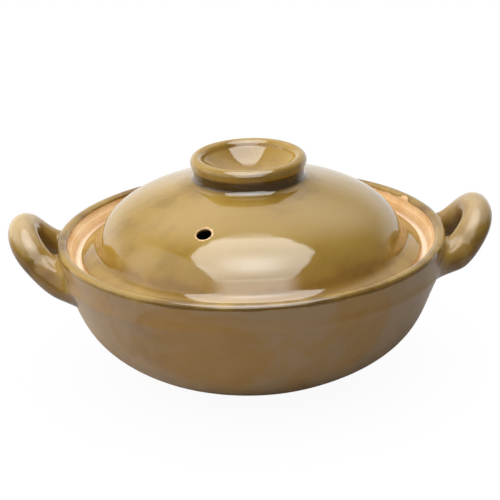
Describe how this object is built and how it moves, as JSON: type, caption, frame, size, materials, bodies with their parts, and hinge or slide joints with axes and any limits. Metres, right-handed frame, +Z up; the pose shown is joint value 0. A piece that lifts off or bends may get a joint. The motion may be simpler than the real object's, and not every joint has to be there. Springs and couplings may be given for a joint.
{
  "type": "earthenware casserole pot",
  "caption": "Round glazed earthenware casserole pot with loop handles and a domed lift-off lid that has a ring knob and a steam hole.",
  "frame": {"origin": "centre of the flat foot, on the surface the pot stands on", "axes": "+Z up along the pot's axis, +X towards one handle and -X towards the other, -Y the front"},
  "size_m": [0.298, 0.24, 0.1369],
  "materials": {
    "body_glaze": "satin",
    "handle_glaze": "gloss",
    "lid_glaze": "gloss"
  },
  "bodies": {
    "pot": {"pot_body": "body_glaze", "handle_left": "handle_glaze", "handle_right": "handle_glaze"},
    "lid": {"lid": "lid_glaze", "lid_knob": "lid_glaze"}
  },
  "joints": [
    {"name": "lid_lift", "type": "slide", "parent": "pot", "child": "lid", "axis": [0, 0, 1], "range_m": [0, 0.12]}
  ]
}
